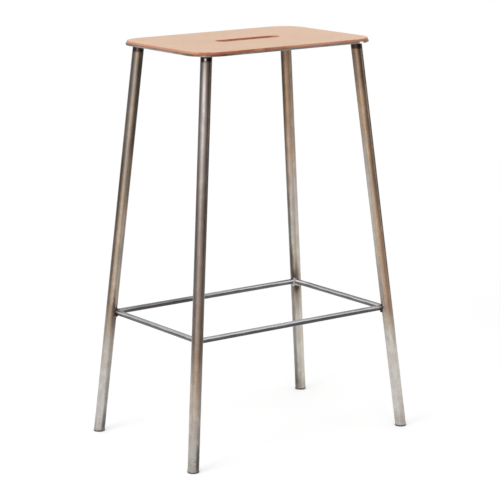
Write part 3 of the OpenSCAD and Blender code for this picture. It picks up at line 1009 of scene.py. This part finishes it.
def weld_path(leg, bead_top):
    """Where two bars and a leg cross, as (places down the mitre, places round the bars).

    They are measured from the corner of the bars' axes, with the bars along -X and -Y."""
    middle = leg.mirrored(leg.at(footrest_z) - leg.mirrored(bar_corner))
    middle.z = 0
    axis = leg.mirrored(leg.axis)

    def off_axis(place):
        off = place - middle
        return (off - axis * off.dot(axis)).length

    mitre, rings = [], []
    for k in range(MITRE_STEPS + 1):
        # Down the mitre, and a little above and below it on the face of the leg
        z = (bead_top - (bead_top + BEAD_END) * k / MITRE_STEPS) * MM
        out_by = math.sqrt(max(bar_radius * bar_radius - z * z, 0)) * 0.9
        while off_axis(Vector((-out_by, -out_by, z))) < leg.radius:
            out_by += SEARCH_STEP
        mitre.append(Vector((-out_by, -out_by, z)))
    for k in range(0, 360, 15):
        a = math.radians(k)
        aside, up = bar_radius * math.cos(a), bar_radius * math.sin(a)
        for start, way in (((0, aside, up), (-1, 0, 0)), ((aside, 0, up), (0, -1, 0))):
            # From far out along the bar, in towards the leg
            start, way = Vector(start), Vector(way)
            reach = SEARCH_FROM
            while reach > 0 and off_axis(start + way * reach) > leg.radius:
                reach -= SEARCH_STEP
            if reach > 1 * MM:
                rings.append(start + way * reach)
    return mitre, rings


def weld_dabs(corner):
    """The overlapping dabs of a corner weld, each as (place, size, squash)."""
    draws, bead_top, full = CORNER_WELDS[corner]
    rng = np.random.default_rng(draws)
    mitre, rings = weld_path(LEGS[corner], bead_top)
    aside = Vector((0.7, -0.7, 0)) * MM
    dabs = []

    def jitter(size):
        return Vector(rng.uniform(-size, size, 3)) * MM

    for k, place in enumerate(mitre):
        # Thin at its top, and fattest low down, where the first pass ended
        size = 1.5 + 2.5 * full * (k / len(mitre)) ** 0.7 + rng.uniform(-0.4, 0.4)
        weave = math.sin(0.6 * k)
        place = place - aside * (2.6 + weave - rng.uniform(0.0, 1.2)) + jitter(0.45)
        dabs.append((place, size * MM))
    for place in rings:
        dabs.append((place + jitter(0.25), (0.7 + 0.3 * full) * rng.uniform(1.5, 1.9) * MM))
    # A second run, lower down and to one side, carried on to the face of the leg
    for k in range(7):
        place = Vector((-3.4 + 0.2 * k, -3.4 + 0.2 * k, -4.6 - 0.45 * k)) * MM + aside * (1.2 + 1.2 * k)
        dabs.append((place + jitter(0.4), full * rng.uniform(2.7, 3.4) * MM))
    return [(place, size, [rng.uniform(*span) for span in SQUASH]) for place, size in dabs]


def melted(dabs):
    """One skin round all the dabs, as (places with their outward directions, faces)."""
    solid = bmesh.new()
    for place, size, squash in dabs:
        ball = bmesh.ops.create_icosphere(solid, subdivisions=3, radius=size)
        shape = Matrix.Translation(place) @ Matrix.Diagonal(squash).to_4x4()
        bmesh.ops.transform(solid, matrix=shape, verts=ball["verts"])
    rough = bpy.data.meshes.new("dabs")
    solid.to_mesh(rough)
    solid.free()
    holder = linked("dabs", rough)
    remesh = holder.modifiers.new("melt", "REMESH")
    remesh.mode = "VOXEL"
    remesh.voxel_size = VOXEL
    smooth = holder.modifiers.new("flow", "SMOOTH")
    smooth.factor = 0.5
    smooth.iterations = 4
    done = holder.evaluated_get(bpy.context.evaluated_depsgraph_get()).to_mesh()
    skin = [(v.co.copy(), v.normal.copy()) for v in done.vertices]
    faces = [tuple(f.vertices) for f in done.polygons]
    holder.to_mesh_clear()
    bpy.data.objects.remove(holder)
    bpy.data.meshes.remove(rough)
    return skin, faces


def corner_blob(corner, material):
    """Lumpy weld where two footrest bars meet each other and a leg."""
    leg = LEGS[corner]
    skin, faces = melted(weld_dabs(corner))
    shift = Vector((5.0 * leg.side, 3.0 * leg.end, 0))
    points = []
    for place, outward in skin:
        swell = 0.1 * noise.noise(place * 900 + shift) + 0.05 * noise.noise(place * 2300 + shift)
        place = place + outward * swell * MM
        points.append(leg.mirrored(bar_corner + place))
    mesh_object("weld_corner_" + corner, points, faces, material, "corner_weld_" + corner)


def dress(node, material):
    """Gives a CAD node its material."""
    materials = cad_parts[node].data.materials
    materials.clear()
    materials.append(material)


def dress_all():
    """Every piece of the stool, with its finer mesh where it has one."""
    leather(hide())
    dress("seat_plate", plate_steel())
    tube, plastic = tube_steel(), glide_plastic()
    bead = weld_metal("weld_bead", (0.2, 0.17, 0.145), (0.1, 0.085, 0.075))
    blob = weld_metal("weld_corner", (0.52, 0.49, 0.48), (0.14, 0.125, 0.12), seam=True)
    for corner in CORNERS:
        dress("leg_" + corner, tube)
        dress("glide_" + corner, plastic)
        plate_bead(corner, bead)
        corner_blob(corner, blob)
    long_bar, short_bar = bar_steel("long_bar_steel", "x"), bar_steel("short_bar_steel", "y")
    dress("footrest_front", long_bar)
    dress("footrest_rear", long_bar)
    dress("footrest_left", short_bar)
    dress("footrest_right", short_bar)


# ---- scene

bpy.context.scene.view_settings.view_transform = "Standard"
make_camera()
make_world()
make_floor()
make_lights()
surround()
dress_all()
